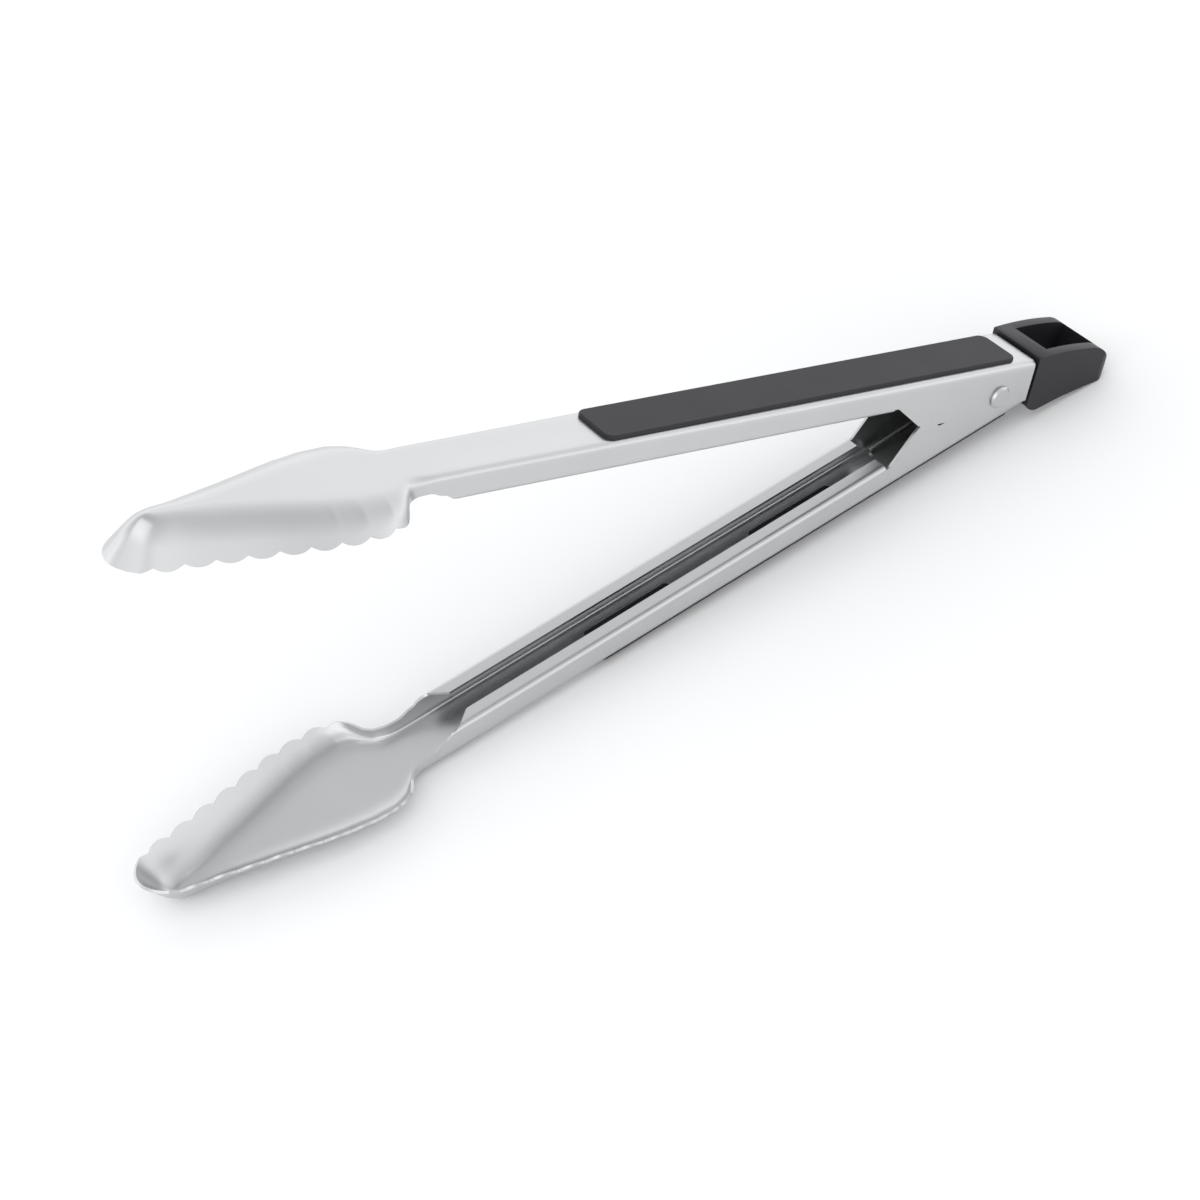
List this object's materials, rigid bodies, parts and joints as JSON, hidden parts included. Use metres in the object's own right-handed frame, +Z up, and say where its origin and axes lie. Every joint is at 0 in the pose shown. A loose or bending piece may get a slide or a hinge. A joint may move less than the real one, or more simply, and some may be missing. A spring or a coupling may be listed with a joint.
{
  "type": "spring loaded kitchen tongs",
  "caption": "Long-handled stamped steel kitchen tongs with scalloped scoop heads, dark grips, a sprung pivot and a pull-cap lock with a hang hole.",
  "frame": {"origin": "centre of the bounding box, on the table the tongs lie on", "axes": "+X along the tongs from the heads to the pull cap, +Y along the rivet, +Z up"},
  "size_m": [0.4082, 0.0506, 0.1518],
  "materials": {
    "steel": "satin stainless sheet",
    "inner_steel": "plain rolled stainless sheet",
    "rivet_steel": "turned stainless steel",
    "spring_wire": "bright drawn spring wire",
    "grip_rubber": "satin charcoal soft grip",
    "cap_plastic": "satin charcoal moulding"
  },
  "bodies": {
    "lower_arm": {"lower_arm": "steel", "lower_grip": "grip_rubber", "pivot_rivet": "rivet_steel", "pivot_sleeve": "inner_steel", "torsion_spring": "spring_wire"},
    "upper_arm": {"upper_arm": "steel", "upper_grip": "grip_rubber"},
    "lock": {"lock_slide": "inner_steel", "latch_pin": "rivet_steel", "end_cap": "cap_plastic"}
  },
  "joints": [
    {"name": "arm_swing", "type": "hinge", "parent": "lower_arm", "child": "upper_arm", "pos_m": [0.15044, 0, 0.02002], "axis": [0, -1, 0], "range_deg": [0, 20.7], "stiffness_Nm_per_rad": 1, "springref_deg": -28.65, "deforming": ["torsion_spring"]},
    {"name": "lock_pull", "type": "slide", "parent": "upper_arm", "child": "lock", "axis": [0.9369, 0, -0.3496], "range_m": [0, 0.01]}
  ]
}
